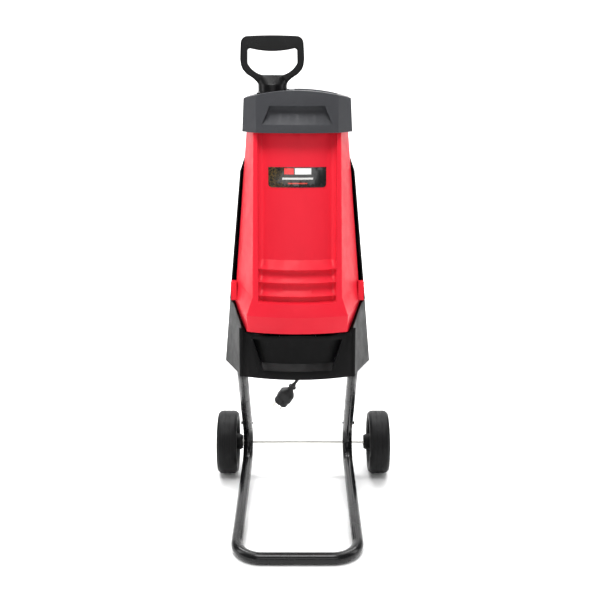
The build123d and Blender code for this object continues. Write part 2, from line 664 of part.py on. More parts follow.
with BuildPart() as commutator:
    rod(0, MOTOR_Y, (375.0, 387.5), 14)
    with BuildSketch(level(374, 0, MOTOR_Y)):
        with PolarLocations(14, 24):
            Rectangle(2.4, 0.7)
    extrude(amount=11, mode=Mode.SUBTRACT)
    rod(0, MOTOR_Y, (374, 389), MOTOR_SHAFT_R + 0.02, Mode.SUBTRACT)
export(commutator, "commutator")

with BuildPart() as cooling_fan:
    rod(0, MOTOR_Y, (451.5, 453), 34)
    rod(0, MOTOR_Y, (451.5, 459.5), 9)
    with BuildSketch(level(452, 0, MOTOR_Y)):
        with PolarLocations(20, 11):
            Rectangle(26, 1.4, rotation=25)
    extrude(amount=6.5)
    rod(0, MOTOR_Y, (450, 461), MOTOR_SHAFT_R + 0.02, Mode.SUBTRACT)
export(cooling_fan, "cooling_fan")

with BuildPart() as motor_stator:
    rod(0, MOTOR_Y, (STACK_LOW, STACK_HIGH), STACK_R)
    rod(0, MOTOR_Y, (STACK_LOW - 1, STACK_HIGH + 1), ROTOR_R + 0.6, Mode.SUBTRACT)
    for side in (-1, 1):
        box_between(
            tuple(sorted((side * 12, side * 36))),
            (MOTOR_Y - 20, MOTOR_Y + 20),
            (STACK_LOW - 1, STACK_HIGH + 1),
            Mode.SUBTRACT,
        )
        rod(side * 39.5, MOTOR_Y, (STACK_LOW - 1, STACK_HIGH + 1), 2.55, Mode.SUBTRACT)
export(motor_stator, "motor_stator")

with BuildPart() as field_coils:
    rod(0, MOTOR_Y, (STACK_LOW - 6, STACK_HIGH + 6), 33.0)
    rod(0, MOTOR_Y, (STACK_LOW - 7, STACK_HIGH + 7), 27.0, Mode.SUBTRACT)
    box_between((-11.5, 11.5), (MOTOR_Y - 40, MOTOR_Y + 40), (STACK_LOW - 7, STACK_HIGH + 7), Mode.SUBTRACT)
    for low, high in ((MOTOR_Y - 40, MOTOR_Y - 19.5), (MOTOR_Y + 19.5, MOTOR_Y + 40)):
        box_between((-40, 40), (low, high), (STACK_LOW - 7, STACK_HIGH + 7), Mode.SUBTRACT)
export(field_coils, "field_coils")

BRACKET_LOW, BRACKET_HIGH = 368.2, 373.0
with BuildPart() as motor_bracket:
    box_between((-46, 46), (MOTOR_Y - 9, MOTOR_Y + 9), (BRACKET_LOW, BRACKET_HIGH))
    rod(0, MOTOR_Y, (BRACKET_LOW, BRACKET_HIGH + 1), 15)
    rod(0, MOTOR_Y, (BRACKET_LOW - 1, BRACKET_HIGH + 2), 11.02, Mode.SUBTRACT)
    for x in (-39.5, 39.5):
        rod(x, MOTOR_Y, (BRACKET_HIGH - 1, STACK_LOW - 0.2), 5.5)
        rod(x, MOTOR_Y, (BRACKET_LOW - 1, STACK_LOW + 1), 2.55, Mode.SUBTRACT)
export(motor_bracket, "motor_bracket")

with BuildPart() as motor_bolts:
    for x in (-39.5, 39.5):
        rod(x, MOTOR_Y, (BRACKET_LOW - 0.1, PLATE_HIGH + 0.2), 2.5)
        rod(x, MOTOR_Y, (PLATE_HIGH + 0.2, PLATE_HIGH + 3.4), 4.4)
        rod(x, MOTOR_Y, (PLATE_HIGH + 2.2, PLATE_HIGH + 4), 1.6, Mode.SUBTRACT)
        rod(x, MOTOR_Y, (STACK_HIGH + 0.2, PLATE_LOW - 0.2), 4.6)
export(motor_bolts, "motor_bolts")

with BuildPart() as brush_holders:
    for side in (-1, 1):
        box_between(tuple(sorted((side * 16, side * 33))), (MOTOR_Y - 6, MOTOR_Y + 6), (375.5, 385.5))
        reach = tuple(sorted((side * 15, side * 31)))
        box_between(reach, (MOTOR_Y - 4.1, MOTOR_Y + 4.1), (377.4, 383.6), Mode.SUBTRACT)
export(brush_holders, "brush_holders")

with BuildPart() as carbon_brushes:
    for side in (-1, 1):
        box_between(tuple(sorted((side * 14.15, side * 28))), (MOTOR_Y - 4, MOTOR_Y + 4), (377.5, 383.5))
    rod(0, MOTOR_Y, (370, 390), 14.12, Mode.SUBTRACT)
export(carbon_brushes, "carbon_brushes")

with BuildPart() as suppression_capacitor:
    rod(-88, 66, (CASING_BOTTOM + WALL + 0.3, 420), 17)
    chamfer(suppression_capacitor.edges().filter_by(GeomType.CIRCLE), 1.2)
    for y in (61, 71):
        box_between((-91, -85), (y - 0.4, y + 0.4), (419, 428))
export(suppression_capacitor, "suppression_capacitor")

# ---------------------------------------------------------------- safety switch under the hopper
SWITCH_X, SWITCH_Y = -62.0, 104.0
with BuildPart() as safety_switch:
    box_between((SWITCH_X - 14, SWITCH_X + 14), (SWITCH_Y - 5, SWITCH_Y + 5), (DECK_Z + 0.2, DECK_Z + 14))
    rod(SWITCH_X, SWITCH_Y, (DECK_Z + 13, DECK_Z + 17), 4)
    rod(SWITCH_X, SWITCH_Y, (DECK_Z + 5, DECK_Z + 18), 2.55, Mode.SUBTRACT)
export(safety_switch, "safety_switch")

with BuildPart() as switch_plunger:
    rod(SWITCH_X, SWITCH_Y, (DECK_Z + 8, DECK_Z + 20), 2.5)
    fillet(switch_plunger.faces().sort_by(Axis.Z)[-1].edges(), 1.5)
export(switch_plunger, "switch_plunger")

# ---------------------------------------------------------------- switch box at the back
BOX_X, BOX_Y, BOX_Z = (28.0, 112.0), (CASING_BACK_Y + GAP, 160.0), (424.0, 500.0)
START_X, STOP_X, RESET_X, BUTTON_Z, RESET_Z = 52.0, 88.0, 70.0, 478.0, 444.0
with BuildPart() as switch_box:
    box_between(BOX_X, BOX_Y, BOX_Z)
    fillet(switch_box.edges().filter_by(Axis.Y), 6)
    fillet(switch_box.faces().sort_by(Axis.Y)[-1].edges(), 3)
    box_between(
        (BOX_X[0] + 2.5, BOX_X[1] - 2.5),
        (BOX_Y[0] - 1, BOX_Y[1] - 3),
        (BOX_Z[0] + 2.5, BOX_Z[1] - 2.5),
        Mode.SUBTRACT,
    )
    for x in (START_X, STOP_X):
        rod_along_y(x, (150, 164), BUTTON_Z, 12.4, Mode.SUBTRACT)
    rod_along_y(RESET_X, (150, 164), RESET_Z, 6.4, Mode.SUBTRACT)
    rod(55, 138, (BOX_Z[0] - 1, BOX_Z[0] + 4), 6.1, Mode.SUBTRACT)
    for x, z in ((34, 430), (106, 430)):
        rod_along_y(x, (150, 161), z, 2.05, Mode.SUBTRACT)
export(switch_box, "switch_box")

with BuildPart() as switch_module:
    box_between((40, 100), (126, 148), (461, 495))
    for x in (START_X, STOP_X):
        rod_along_y(x, (140, 149), BUTTON_Z, 4.2, Mode.SUBTRACT)
export(switch_module, "switch_module")

with BuildPart() as overload_breaker:
    box_between((61, 79), (126, 146), (434, 454))
    rod_along_y(RESET_X, (138, 147), RESET_Z, 3.2, Mode.SUBTRACT)
export(overload_breaker, "overload_breaker")

for name, x, z, cap_r, stem_r, back in (
    ("start_button", START_X, BUTTON_Z, 12.0, 4.0, 141.0),
    ("stop_button", STOP_X, BUTTON_Z, 12.0, 4.0, 141.0),
    ("reset_button", RESET_X, RESET_Z, 6.0, 3.0, 139.5),
):
    with BuildPart() as button:
        rod_along_y(x, (153.2, 162.5 if name != "stop_button" else 165.0), z, cap_r)
        fillet(button.faces().sort_by(Axis.Y)[-1].edges(), 2)
        rod_along_y(x, (back + 4, 154), z, stem_r)
    export(button, name)

# ---------------------------------------------------------------- mains cord and plug
with BuildPart() as cord_gland:
    rod(55, 138, (BOX_Z[0] - 4, BOX_Z[0] - 0.1), 8)
    rod(55, 138, (BOX_Z[0] - 1, BOX_Z[0] + 6), 6.0)
    with BuildSketch(level(CORD_ROUTE[0][2], 55, 138)):
        Circle(CORD_R + 0.9)
    with BuildSketch(level(BOX_Z[0] - 3.5, 55, 138)):
        Circle(6.5)
    loft(ruled=True)
export(cord_gland, "cord_gland")

cord_points = [Vector(*at(*point)) for point in CORD_ROUTE]


def bend_radius(before, corner, after):
    """Largest easy bend at a corner of the cord, from its two runs and the turn between them."""
    turn = (corner - before).get_angle(after - corner)
    return 0.45 * min((corner - before).length, (after - corner).length) / tan(radians(turn / 2))


cord_radii = [bend_radius(*cord_points[i - 1 : i + 2]) for i in range(1, len(cord_points) - 1)]
with BuildPart() as mains_cord:
    with BuildLine() as cord_line:
        FilletPolyline(*cord_points, radius=cord_radii)
    with BuildSketch(Plane(origin=cord_line.line @ 0, z_dir=cord_line.line % 0)):
        Circle(CORD_R)
    sweep(path=cord_line.line)
cord_length = sum(edge.length for edge in cord_line.edges())
print("cord radii", [round(r, 1) for r in cord_radii], "length", round(cord_length, 1))
print("cord volume", round(mains_cord.part.volume))
print("cord section times length", round(pi * CORD_R**2 * cord_length))
export(mains_cord, "mains_cord")

plug_base = cord_points[-1]
plug_side = PLUG_AXIS.cross(Vector(0, 1, 0)).normalized()


def along_plug(distance):
    """Plane square to the plug's axis, its X along the line of the two pins."""
    return Plane(origin=plug_base + PLUG_AXIS * distance, x_dir=plug_side, z_dir=PLUG_AXIS)


PLUG_FACE = 66.0
PIN_ROOT, PIN_ROOT_R = 50.0, 2.0  # the part of each pin that is held in the plug
with BuildPart() as plug_body:
    for start, end, low, high in ((0.05, 8, 5.0, 5.6), (12, 21, 6.2, 8.5)):
        with BuildSketch(along_plug(start)):
            Circle(low)
        with BuildSketch(along_plug(end)):
            Circle(high)
        loft(ruled=True)
    with BuildSketch(along_plug(7.5)):
        RectangleRounded(19, 11, 3.5)
    extrude(amount=5.5)
    with BuildSketch(along_plug(20.5)):
        Circle(9)
    with BuildSketch(along_plug(32)):
        RectangleRounded(37, 30, 10)
    loft(ruled=True)
    with BuildSketch(along_plug(31.9)):
        RectangleRounded(37, 30, 10)
    with BuildSketch(along_plug(51)):
        RectangleRounded(39, 32, 11)
    loft(ruled=True)
    with BuildSketch(along_plug(50)):
        Circle(18)
    extrude(amount=PLUG_FACE - 50)
    with BuildSketch(along_plug(PIN_ROOT)):
        with Locations((-PLUG_PIN_SPACING / 2, 0), (PLUG_PIN_SPACING / 2, 0)):
            Circle(PIN_ROOT_R + 0.02)
    extrude(amount=30, mode=Mode.SUBTRACT)
    # Side grooves of the plug's round front.
    with BuildSketch(along_plug(52)):
        with Locations((0, -18), (0, 18)):
            Rectangle(5, 4)
    extrude(amount=20, mode=Mode.SUBTRACT)
export(plug_body, "plug_body")

with BuildPart() as plug_pins:
    with BuildSketch(along_plug(PIN_ROOT)):
        with Locations((-PLUG_PIN_SPACING / 2, 0), (PLUG_PIN_SPACING / 2, 0)):
            Circle(PIN_ROOT_R)
    extrude(amount=PLUG_FACE - PIN_ROOT)
    with BuildSketch(along_plug(PLUG_FACE)):
        with Locations((-PLUG_PIN_SPACING / 2, 0), (PLUG_PIN_SPACING / 2, 0)):
            Circle(PLUG_PIN_R)
    extrude(amount=PLUG_PIN_LONG)
export(plug_pins, "plug_pins")
print("plug face", plug_base + PLUG_AXIS * PLUG_FACE, "pin line", plug_side)

# ---------------------------------------------------------------- lock knob and hinge pin
with BuildPart() as lock_stud:
    rod_along_y(0, (96.4, 140), LOCK_Z, STUD_R)
    rod_along_y(0, (96.4, 98.9), LOCK_Z, 6.5)
export(lock_stud, "lock_stud")

with BuildPart() as knob_washer:
    rod_along_y(0, (SHELL_BACK_Y + GAP, SHELL_BACK_Y + 1.9), LOCK_Z, 11)
    rod_along_y(0, (110, 120), LOCK_Z, STUD_R + 0.1, Mode.SUBTRACT)
export(knob_washer, "knob_washer")

with BuildPart() as lock_knob:
    with BuildSketch(facing(144, 0, LOCK_Z)):
        Circle(18)
        with PolarLocations(15.5, 6):
            Circle(6)
    extrude(amount=16)
    fillet(lock_knob.faces().sort_by(Axis.Y)[-1].edges(), 2.5)
    rod_along_y(0, (SHELL_BACK_Y + 2.0, 129), LOCK_Z, 11)
    rod_along_y(0, (SHELL_BACK_Y + 1, 141), LOCK_Z, STUD_R + 0.06, Mode.SUBTRACT)
export(lock_knob, "lock_knob")

with BuildPart() as hinge_pin:
    rod_along_x((-37, 37), HINGE_Y, HINGE_Z, HINGE_PIN_R)
export(hinge_pin, "hinge_pin")

# ---------------------------------------------------------------- hopper front shell


def front_y(z):
    """Middle of the front shell's face, which bulges at BULGE_Z."""
    if z < BULGE_Z:
        return between(z, (DECK_Z, -120.0), (BULGE_Z, -140.0))
    return between(z, (BULGE_Z, -140.0), (SHELL_TOP, -82.0))


def crease_y(z):
    """Upright crease between the face and the flank."""
    if z < BULGE_Z:
        return between(z, (DECK_Z, -101.0), (BULGE_Z, -120.0))
    return between(z, (BULGE_Z, -120.0), (SHELL_TOP, -68.0))


def crease_x(z):
    if z < FLARE_Z:
        return between(max(z, BULGE_Z), (BULGE_Z, CREASE_LOW), (FLARE_Z, CREASE_MIDDLE))
    return between(z, (FLARE_Z, CREASE_MIDDLE), (SHELL_TOP, CREASE_HIGH))


def flank_x(z):
    return between(z, (BULGE_Z, 141.7), (SHELL_TOP, 108.4))


def front_section(z, inset=0.0):
    with BuildSketch(level(z)) as outline:
        with BuildLine():
            ThreePointArc((-crease_x(z), crease_y(z)), (0, front_y(z)), (crease_x(z), crease_y(z)))
            Polyline(
                (crease_x(z), crease_y(z)),
                (flank_x(z), SHELL_JOIN_Y),
                (-flank_x(z), SHELL_JOIN_Y),
                (-crease_x(z), crease_y(z)),
            )
        make_face()
        fillet(outline.vertices().group_by(Axis.Y)[0], 4)
        if inset:
            offset(amount=-inset)
    return outline.sketch


RECESS_TOP, RECESS_LOW, RECESS_FOOT, RECESS_DEEP = 905.0, 624.0, 606.0, 14.0
RECESS_HALF, RECESS_FLOOR_HALF = 82.0, 69.0
FLUSH = 0.4  # depth of a hollow where it runs out into the face


def recess_section(z, deep, grow):
    """Plan of the long hollow in the front: its floor is curved like the face and its walls are rounded."""

    def face_y(x):
        return front_y(z) + (crease_y(z) - front_y(z)) * (x / crease_x(z)) ** 2

    floor_y = face_y(RECESS_FLOOR_HALF) + deep + grow
    rim_y = face_y(RECESS_HALF)
    with BuildSketch(level(z)) as outline:
        with BuildLine():
            ThreePointArc(
                (-RECESS_FLOOR_HALF - grow, floor_y),
                (0, front_y(z) + deep + grow),
                (RECESS_FLOOR_HALF + grow, floor_y),
            )
            for side in (-1, 1):
                ThreePointArc(
                    (side * (RECESS_FLOOR_HALF + grow), floor_y),
                    (side * (RECESS_HALF - 3 + grow), rim_y + (deep + grow) * 0.62),
                    (side * (RECESS_HALF + grow), rim_y),
                )
            Polyline(
                (-RECESS_HALF - grow, rim_y),
                (-RECESS_HALF - grow, front_y(z) - 20),
                (RECESS_HALF + grow, front_y(z) - 20),
                (RECESS_HALF + grow, rim_y),
            )
        make_face()
    return outline.sketch


def long_recess(grow):
    deepest = recess_section(RECESS_LOW, RECESS_DEEP, grow)
    with BuildPart() as hollow:
        loft([deepest, recess_section(RECESS_TOP, RECESS_DEEP, grow)], ruled=True)
        loft([recess_section(RECESS_FOOT - grow, FLUSH, grow), deepest], ruled=True)
    return hollow.part


# Each groove's top, the foot of its back wall, and the edge that the slope below it runs out to.
GROOVES = ((606.0, 591.0, 579.4), (579.0, 562.0, 551.4), (551.0, 539.0, 535.0))
GROOVE_DEEP = 10.0


def louvres(grow):
    """Three level grooves between sloping slats."""
    with BuildPart() as cuts:
        for top, foot, lip in GROOVES:
            back = recess_section(foot, GROOVE_DEEP - 1, grow)
            loft([back, recess_section(top + grow, GROOVE_DEEP, grow)], ruled=True)
            loft([recess_section(lip - grow, FLUSH, grow), back], ruled=True)
    return cuts.part


front_hollows = long_recess(0) + louvres(0)
front_hollow_backs = long_recess(WALL) + louvres(WALL)

with BuildPart() as front_cavity:
    for low, high in ((SHELL_BOTTOM, BULGE_Z), (BULGE_Z, FLARE_Z), (FLARE_Z, SHELL_TOP + 5)):
        loft([front_section(low, WALL), front_section(high, WALL)], ruled=True)
    box_between((-160, 160), (SHELL_JOIN_Y - 5, SHELL_JOIN_Y + 5), (SHELL_BOTTOM, SHELL_TOP + 5))
front_inside = front_cavity.part - front_hollow_backs

with BuildPart() as front_solid:
    for low, high in ((SHELL_BOTTOM, BULGE_Z), (BULGE_Z, FLARE_Z), (FLARE_Z, SHELL_TOP)):
        loft([front_section(low), front_section(high)], ruled=True)
    add(parting_block(PARTING_GAP, BELOW_ALL), mode=Mode.SUBTRACT)

with BuildPart() as hopper_front_shell:
    add(front_solid.part - front_inside - front_hollows)
    # Side lugs over the join with the rear shell.
    for side in (-1, 1):
        box_between(tuple(sorted((side * 135.0, side * 147.5))), (-16, SHELL_JOIN_Y - 0.3), (513, 554))
    # Hinge knuckles inside the lower lip.
    for side in (-1, 1):
        with BuildSketch(across(16 if side > 0 else -36)):
            with BuildLine():
                Polyline(
                    (HINGE_Y - 4.3, HINGE_Z - 1),
                    (HINGE_Y + 4.3, HINGE_Z + 1),
                    (HINGE_Y + 2, 500),
                    (-133, 500),
                    close=True,
                )
            make_face()
        extrude(amount=20)
        rod_along_x(tuple(sorted((side * 16, side * 36))), HINGE_Y, HINGE_Z, KNUCKLE_R)
    rod_along_x((-39, 39), HINGE_Y, HINGE_Z, HINGE_PIN_R + 0.06, Mode.SUBTRACT)
export(hopper_front_shell, "hopper_front_shell")

LABEL_GAP, LABEL_THICK, LABEL_HALF = 0.3, 0.7, 66.0
with BuildPart() as label_plate:
    for z in (762.0, 826.0):
        middle_y = front_y(z) + RECESS_DEEP - LABEL_GAP
        end_y = middle_y + (crease_y(z) - front_y(z)) * (LABEL_HALF / crease_x(z)) ** 2
        with BuildSketch(level(z)):
            with BuildLine():
                ThreePointArc((-LABEL_HALF, end_y), (0, middle_y), (LABEL_HALF, end_y))
                Line((LABEL_HALF, end_y), (LABEL_HALF, end_y - LABEL_THICK))
                ThreePointArc(
                    (LABEL_HALF, end_y - LABEL_THICK),
                    (0, middle_y - LABEL_THICK),
                    (-LABEL_HALF, end_y - LABEL_THICK),
                )
                Line((-LABEL_HALF, end_y - LABEL_THICK), (-LABEL_HALF, end_y))
            make_face()
    loft(ruled=True)
    with BuildSketch(facing(-20)):
        with Locations((0, 793.5)):
            RectangleRounded(120, 41, 7)
        with Locations((0, 800)):
            Rectangle(120, 28)
    extrude(amount=150, mode=Mode.INTERSECT)
export(label_plate, "label_plate")

# ---------------------------------------------------------------- hopper rear shell
REAR_LEVELS = ((SHELL_BOTTOM, 157.0), (797.0, 124.0), (836.0, 110.5), (SHELL_TOP, 108.4))


def rear_section(z, half, inset=0.0):
    with BuildSketch(level(z)) as outline:
        with BuildLine():
            Polyline(
                (-half, SHELL_JOIN_Y + 0.4),
                (half, SHELL_JOIN_Y + 0.4),
                (half - 5, 84),
                (half - 32, SHELL_BACK_Y),
                (32 - half, SHELL_BACK_Y),
                (5 - half, 84),
                close=True,
            )
        make_face()
        fillet(outline.vertices().group_by(Axis.Y)[-1], 12)
        fillet([v for v in outline.vertices() if abs(v.Y - 84) < 0.1], 12)
        if inset:
            offset(amount=-inset)
    return outline.sketch


with BuildPart() as rear_cavity:
    for (low, low_half), (high, high_half) in zip(REAR_LEVELS, REAR_LEVELS[1:]):
        loft([rear_section(low, low_half, WALL), rear_section(high, high_half, WALL)], ruled=True)
    with BuildSketch(facing(SHELL_JOIN_Y + 6)):
        with BuildLine():
            Polyline(
                (-157 + WALL, SHELL_BOTTOM),
                (157 - WALL, SHELL_BOTTOM),
                (124 - WALL, 797),
                (110.5 - WALL, 836),
                (108.4 - WALL, SHELL_TOP),
                (WALL - 108.4, SHELL_TOP),
                (WALL - 110.5, 836),
                (WALL - 124, 797),
                close=True,
            )
        make_face()
    extrude(amount=8)

with BuildPart() as hopper_rear_shell:
    for (low, low_half), (high, high_half) in zip(REAR_LEVELS, REAR_LEVELS[1:]):
        loft([rear_section(low, low_half), rear_section(high, high_half)], ruled=True)
    add(parting_block(PARTING_GAP, BELOW_ALL), mode=Mode.SUBTRACT)
    add(rear_cavity.part, mode=Mode.SUBTRACT)
    # Downward-open slot that drops over the lock stud.
    box_between((-4.7, 4.7), (100, 130), (455, LOCK_Z), Mode.SUBTRACT)
    rod_along_y(0, (100, 130), LOCK_Z, 4.7, Mode.SUBTRACT)
    # Ventilation slots, pads that rest on the deck, and the finger over the safety switch.
    for row in range(5):
        for low, high in ((-66, -12), (12, 66)):
            box_between((low, high), (100, 130), (560 + row * 13, 566 + row * 13), Mode.SUBTRACT)
    for x in (-96, 96):
        box_between((x - 8, x + 8), (104, 113), (DECK_Z + GAP, 480))
    box_between((SWITCH_X - 4, SWITCH_X + 4), (SWITCH_Y - 4, 113), (DECK_Z + 20.4, DECK_Z + 26))
    for z in (620, 740, 860):
        for x in (-62, 62):
            rod_along_y(x, (90, 130), z, 2.05, Mode.SUBTRACT)
export(hopper_rear_shell, "hopper_rear_shell")

with BuildPart() as shell_screws:
    for z in (620, 740, 860):
        for x in (-62, 62):
            rod_along_y(x, (99.5, SHELL_BACK_Y + 0.1), z, 2.0)
            rod_along_y(x, (SHELL_BACK_Y + 0.1, SHELL_BACK_Y + 2.8), z, 4.2)
            rod_along_y(x, (SHELL_BACK_Y + 1.4, SHELL_BACK_Y + 3.0), z, 1.6, Mode.SUBTRACT)
export(shell_screws, "shell_screws")

# ---------------------------------------------------------------- feed chute and its supports
OUT = CHUTE_HALF + 2.5
CHUTE_X_RANGE = (CHUTE_X - OUT, CHUTE_X + OUT)
with BuildPart() as feed_chute:
    box_between(CHUTE_X_RANGE, (-OUT, OUT), (CHUTE_LOW, FUNNEL_LOW - 0.2))
    rod(0, 0, (CHUTE_LOW, CHUTE_LOW + 3), 99)
    box_between(
        (CHUTE_X - CHUTE_HALF, CHUTE_X + CHUTE_HALF),
        (-CHUTE_HALF, CHUTE_HALF),
        (CHUTE_LOW - 1, FUNNEL_LOW),
        Mode.SUBTRACT,
    )
export(feed_chute, "feed_chute")

with BuildPart() as chute_brackets:
    for z in (600.0, 770.0):
        reach = flank_x(z) - WALL - 8.5
        for side in (-1, 1):
            near = CHUTE_X + side * (OUT + 0.2)
            box_between(tuple(sorted((near, side * reach))), (-14, 1), (z, z + 2.5))
            box_between(tuple(sorted((near, near + side * 2.5))), (-14, 1), (z - 16, z + 2.5))
            box_between(tuple(sorted((side * reach, side * (reach - 2.5)))), (-14, 1), (z, z + 14))
export(chute_brackets, "chute_brackets")

with BuildPart() as counter_knife:
    box_between((-80, -22), (29, 36), (539.5, CHUTE_LOW - 0.1))
    chamfer(counter_knife.faces().sort_by(Axis.Y)[0].edges().filter_by(Axis.X).sort_by(Axis.Z)[:1], 2)
export(counter_knife, "counter_knife")

SLOT_X, SLOT_HALF = (-6.0, 86.0), 40.0
with BuildPart() as funnel:
    with BuildSketch(level(FUNNEL_LOW, CHUTE_X)) as low_outer:
        Rectangle(2 * OUT, 2 * OUT)
    with BuildSketch(level(FUNNEL_TOP)) as top_outer:
        with Locations(((CHUTE_X - OUT + SLOT_X[1] + 5) / 2, 0)):
            Rectangle(SLOT_X[1] + 5 - CHUTE_X + OUT, 2 * SLOT_HALF + 5)
    loft([low_outer.sketch, top_outer.sketch], ruled=True)
    with BuildSketch(level(FUNNEL_LOW, CHUTE_X)) as low_inner:
        Rectangle(2 * CHUTE_HALF, 2 * CHUTE_HALF)
    with BuildSketch(level(FUNNEL_TOP)) as top_inner:
        with Locations(((CHUTE_X - CHUTE_HALF + SLOT_X[1] + 2.5) / 2, 0)):
            Rectangle(SLOT_X[1] + 2.5 - CHUTE_X + CHUTE_HALF, 2 * SLOT_HALF)
    loft([low_inner.sketch, top_inner.sketch], ruled=True, mode=Mode.SUBTRACT)
export(funnel, "funnel")

# ---------------------------------------------------------------- hood
HOOD_CREASE_X, HOOD_BOW = 84.0, 13.0


def hood_front_y(z):
    return between(z, (HOOD_BOTTOM, -96), (970, -93))


def hood_section(z, inset=0.0):
    corner_y, front = between(z, (HOOD_BOTTOM, -45), (970, -42)), hood_front_y(z)
    side = between(z, (884, 115.0), (970, 110.5))
    with BuildSketch(level(z)) as outline:
        with BuildLine():
            ThreePointArc((-HOOD_CREASE_X, front + HOOD_BOW), (0, front), (HOOD_CREASE_X, front + HOOD_BOW))
            Polyline(
                (HOOD_CREASE_X, front + HOOD_BOW),
                (side, corner_y),
                (side - 1, 78),
                (side - 34, 119),
                (34 - side, 119),
                (1 - side, 78),
                (-side, corner_y),
                (-HOOD_CREASE_X, front + HOOD_BOW),
            )
        make_face()
        fillet([v for v in outline.vertices() if abs(v.X) > 100], 7)
        if inset:
            offset(amount=-inset)
    return outline.sketch


def crown(drop):
    """Solid under the hood's arched top, lowered by drop."""
    with BuildPart() as arch:
        with BuildSketch(facing(160)):
            with BuildLine():
                ThreePointArc((-112, 951.5 - drop), (0, HOOD_TOP - drop), (112, 951.5 - drop))
                Polyline(
                    (112, 951.5 - drop),
                    (130, 940 - drop),
                    (130, 870),
                    (-130, 870),
                    (-130, 940 - drop),
                    (-112, 951.5 - drop),
                )
            make_face()
        extrude(amount=320)
    return arch.part


HOOD_WALL = 3.0
with BuildPart() as hood_inside:
    loft([hood_section(HOOD_BOTTOM - 1, HOOD_WALL), hood_section(970, HOOD_WALL)], ruled=True)
    add(crown(HOOD_WALL), mode=Mode.INTERSECT)

def scoop_section(z, half, deep, grow):
    """Plan of the grip scoop: its floor keeps the same depth behind the bowed face."""
    front = hood_front_y(z)
    side_y = front + HOOD_BOW * (half / HOOD_CREASE_X) ** 2 + deep + grow
    with BuildSketch(level(z)) as outline:
        with BuildLine():
            ThreePointArc((-half - grow, side_y), (0, front + deep + grow), (half + grow, side_y))
            Polyline(
                (half + grow, side_y),
                (half + grow, front - 20),
                (-half - grow, front - 20),
                (-half - grow, side_y),
            )
        make_face()
    return outline.sketch


SCOOP_TOP, SCOOP_RAMP, SCOOP_LOW, SCOOP_DEEP = 938.0, 928.0, 900.5, 13.0


def hood_scoop(grow):
    """Grip hollow in the hood's face: a short back wall, then a ramp that runs out to the face."""
    ramp = scoop_section(SCOOP_RAMP, 60, SCOOP_DEEP, grow)
    with BuildPart() as scoop:
        loft([ramp, scoop_section(SCOOP_TOP + grow, 57, SCOOP_DEEP, grow)], ruled=True)
        loft([scoop_section(SCOOP_LOW - grow, 72, 0.3, grow), ramp], ruled=True)
    return scoop.part


hood_solid_inside = hood_inside.part - hood_scoop(HOOD_WALL)
with BuildPart() as hood:
    loft([hood_section(HOOD_BOTTOM), hood_section(970)], ruled=True)
    add(crown(0), mode=Mode.INTERSECT)
    add(hood_solid_inside, mode=Mode.SUBTRACT)
    add(hood_scoop(0), mode=Mode.SUBTRACT)
    # Square hole for the pusher.
    box_between(
        (CHUTE_X - CHUTE_HALF, CHUTE_X + CHUTE_HALF), (-CHUTE_HALF, CHUTE_HALF), (940, 980), Mode.SUBTRACT
    )
    with BuildSketch(level(930, (SLOT_X[0] + SLOT_X[1]) / 2)):
        RectangleRounded(SLOT_X[1] - SLOT_X[0], 2 * SLOT_HALF, 8)
    extrude(amount=50, mode=Mode.SUBTRACT)
export(hood, "hood")

# ---------------------------------------------------------------- pusher
SHAFT_HALF = 32.0
CAP_LOW, CAP_TOP, NECK_TOP = 957.0, 962.4, 978.0
NECK_R = 30.5
with BuildPart() as pusher_shaft:
    with BuildSketch(level(PUSHER_LOW, CHUTE_X)):
        RectangleRounded(2 * SHAFT_HALF, 2 * SHAFT_HALF, 5)
    extrude(amount=CAP_LOW - PUSHER_LOW)
    with BuildSketch(level(PUSHER_LOW + 3, CHUTE_X)):
        RectangleRounded(2 * SHAFT_HALF - 5, 2 * SHAFT_HALF - 5, 3)
    extrude(amount=CAP_LOW - PUSHER_LOW, mode=Mode.SUBTRACT)
export(pusher_shaft, "pusher_shaft")

